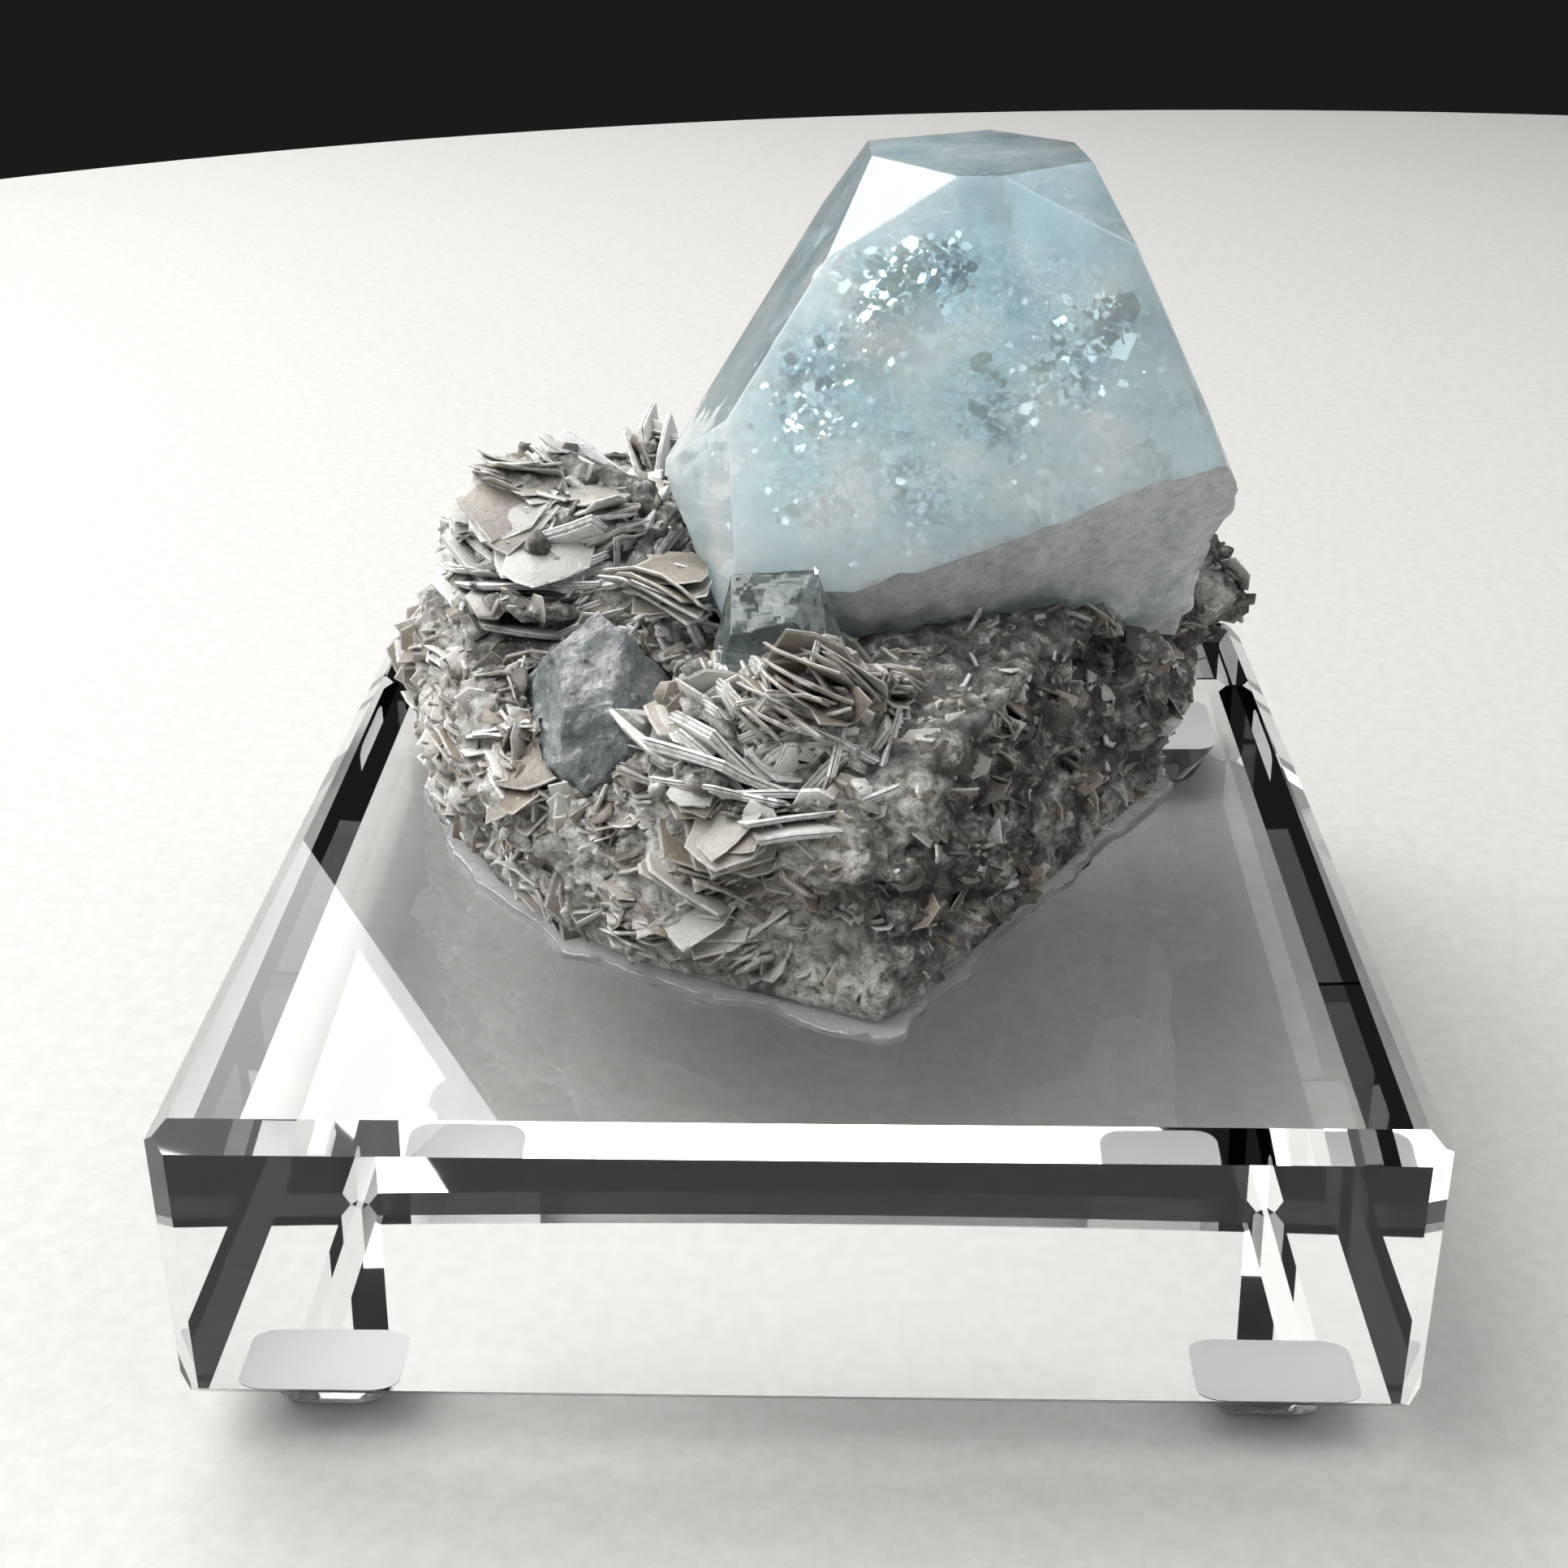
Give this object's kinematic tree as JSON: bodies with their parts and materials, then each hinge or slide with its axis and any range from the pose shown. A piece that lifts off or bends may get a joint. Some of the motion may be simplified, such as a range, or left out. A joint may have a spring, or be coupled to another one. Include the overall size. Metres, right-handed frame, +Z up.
{
  "type": "aquamarine crystal on matrix with display base",
  "caption": "Pale blue aquamarine crystal, a blunt pyramid grown on mica-covered rock with small grey beryls, glued to a clear acrylic block on clear bumper feet.",
  "frame": {"origin": "on the floor, under the centre of the acrylic block", "axes": "+Z up, +X to the right and +Y to the back, seen from the front of the block"},
  "size_m": [0.0954, 0.1036, 0.089],
  "materials": {
    "aquamarine": "clear pale blue beryl, glossy growth faces, milky veils inside, broken underside",
    "mica_rock": "silvery mica plates over dark granular rock",
    "grey_beryl": "cloudy grey-blue beryl, half clear",
    "clear_adhesive": "clear hardened glue",
    "clear_acrylic": "polished clear acrylic",
    "clear_bumper": "clear soft polyurethane"
  },
  "bodies": {
    "root": {"aquamarine_crystal": "aquamarine", "mica_matrix": "mica_rock", "beryl_crystal_front": "grey_beryl", "beryl_crystal_small": "grey_beryl", "adhesive_pad": "clear_adhesive", "base_block": "clear_acrylic", "foot_front_left": "clear_bumper", "foot_front_right": "clear_bumper", "foot_back_left": "clear_bumper", "foot_back_right": "clear_bumper"}
  },
  "joints": []
}
